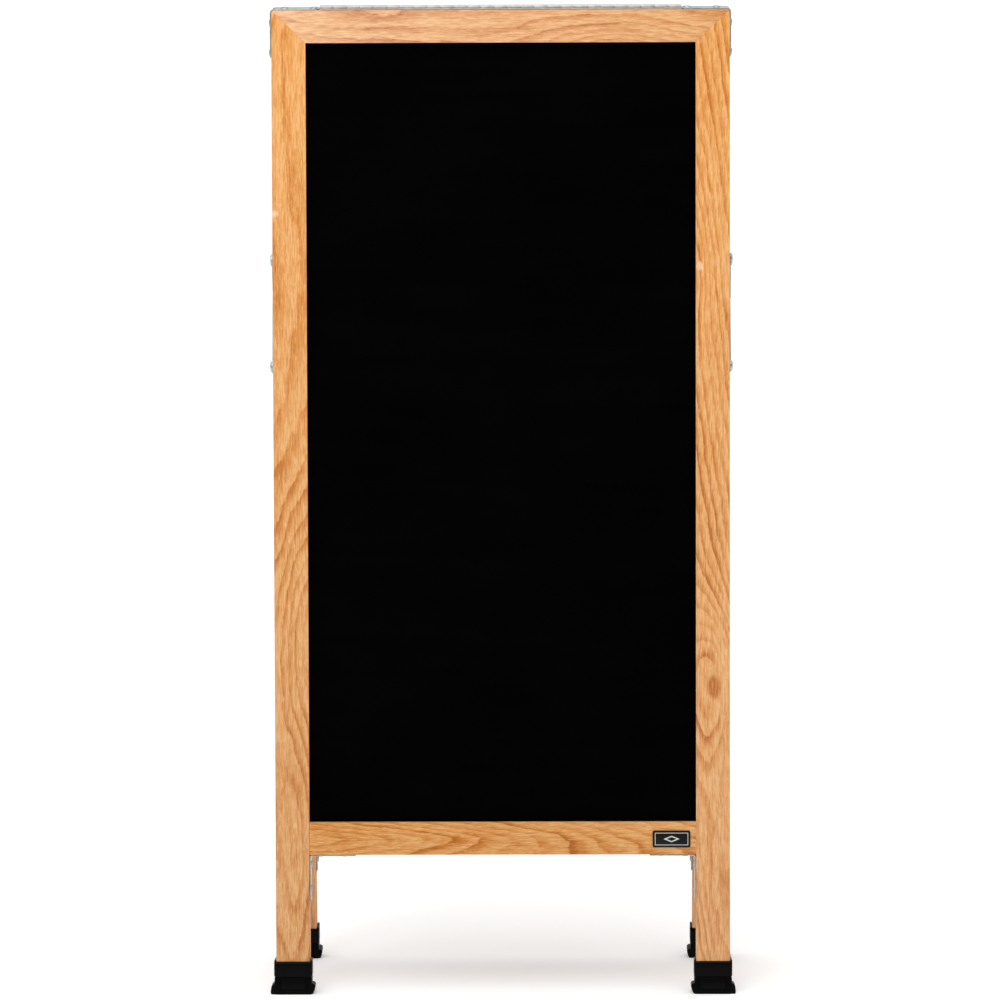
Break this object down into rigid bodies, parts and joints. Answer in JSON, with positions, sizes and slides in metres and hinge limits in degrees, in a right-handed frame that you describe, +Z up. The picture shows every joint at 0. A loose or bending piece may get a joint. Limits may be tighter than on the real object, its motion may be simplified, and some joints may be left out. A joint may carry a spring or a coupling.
{
  "type": "folding a-frame chalkboard sign",
  "caption": "Double-sided folding A-frame menu chalkboard: oak frames with dark writing boards, top piano hinge, folding steel side braces and rubber boots.",
  "frame": {"origin": "on the floor under the middle of the open sign", "axes": "+Z up; +X to the right seen from the front, along the hinge; the front board faces -Y and the rear board +Y"},
  "size_m": [0.4804, 0.1942, 1.0177],
  "materials": {
    "oak": "clear satin lacquer over plain-sawn oak",
    "chalkboard": "matt black writing surface on hardboard",
    "rubber": "moulded matt black rubber",
    "zinc": "bright zinc plate",
    "label": "gloss black plate, left without text"
  },
  "bodies": {
    "front_panel": {"front_top_rail": "oak", "front_bottom_rail": "oak", "front_chalkboard": "chalkboard", "front_hinge_leaf": "zinc", "front_stile_left": "oak", "front_top_bracket_left": "zinc", "front_low_bracket_left": "zinc", "front_boot_left": "rubber", "front_screw_top_left_1": "zinc", "front_screw_top_left_2": "zinc", "front_screw_side_left_1": "zinc", "front_screw_side_left_2": "zinc", "front_brace_pivot_left": "zinc", "front_stile_right": "oak", "front_top_bracket_right": "zinc", "front_low_bracket_right": "zinc", "front_boot_right": "rubber", "front_screw_top_right_1": "zinc", "front_screw_top_right_2": "zinc", "front_screw_side_right_1": "zinc", "front_screw_side_right_2": "zinc", "front_brace_pivot_right": "zinc", "hinge_pin": "zinc", "label_plate": "label"},
    "rear_panel": {"rear_top_rail": "oak", "rear_bottom_rail": "oak", "rear_chalkboard": "chalkboard", "rear_hinge_leaf": "zinc", "rear_stile_left": "oak", "rear_top_bracket_left": "zinc", "rear_low_bracket_left": "zinc", "rear_boot_left": "rubber", "rear_screw_top_left_1": "zinc", "rear_screw_top_left_2": "zinc", "rear_screw_side_left_1": "zinc", "rear_screw_side_left_2": "zinc", "rear_brace_pivot_left": "zinc", "rear_stile_right": "oak", "rear_top_bracket_right": "zinc", "rear_low_bracket_right": "zinc", "rear_boot_right": "rubber", "rear_screw_top_right_1": "zinc", "rear_screw_top_right_2": "zinc", "rear_screw_side_right_1": "zinc", "rear_screw_side_right_2": "zinc", "rear_brace_pivot_right": "zinc"},
    "front_link_left": {"front_link_left": "zinc", "brace_rivet_left": "zinc"},
    "front_link_right": {"front_link_right": "zinc", "brace_rivet_right": "zinc"},
    "rear_link_left": {"rear_link_left": "zinc"},
    "rear_link_right": {"rear_link_right": "zinc"}
  },
  "joints": [
    {"name": "fold", "type": "hinge", "parent": "front_panel", "child": "rear_panel", "pos_m": [0, 0, 1.015], "axis": [1, 0, 0], "range_deg": [-8.2, 9.8]},
    {"name": "front_link_left_turn", "type": "hinge", "parent": "front_panel", "child": "front_link_left", "pos_m": [-0.236, -0.03885, 0.64784], "axis": [-1, 0, 0], "range_deg": [-11, 13]},
    {"name": "rear_link_left_turn", "type": "hinge", "parent": "rear_panel", "child": "rear_link_left", "pos_m": [-0.236, 0.03885, 0.64784], "axis": [1, 0, 0], "range_deg": [-11, 13]},
    {"name": "front_link_right_turn", "type": "hinge", "parent": "front_panel", "child": "front_link_right", "pos_m": [0.236, -0.03885, 0.64784], "axis": [-1, 0, 0], "range_deg": [-11, 13]},
    {"name": "rear_link_right_turn", "type": "hinge", "parent": "rear_panel", "child": "rear_link_right", "pos_m": [0.236, 0.03885, 0.64784], "axis": [1, 0, 0], "range_deg": [-11, 13]}
  ],
  "couplings": [
    {"joint": "front_link_left_turn", "follows": "fold", "ratio": 1.257},
    {"joint": "rear_link_left_turn", "follows": "fold", "ratio": 1.257},
    {"joint": "front_link_right_turn", "follows": "fold", "ratio": 1.257},
    {"joint": "rear_link_right_turn", "follows": "fold", "ratio": 1.257}
  ]
}
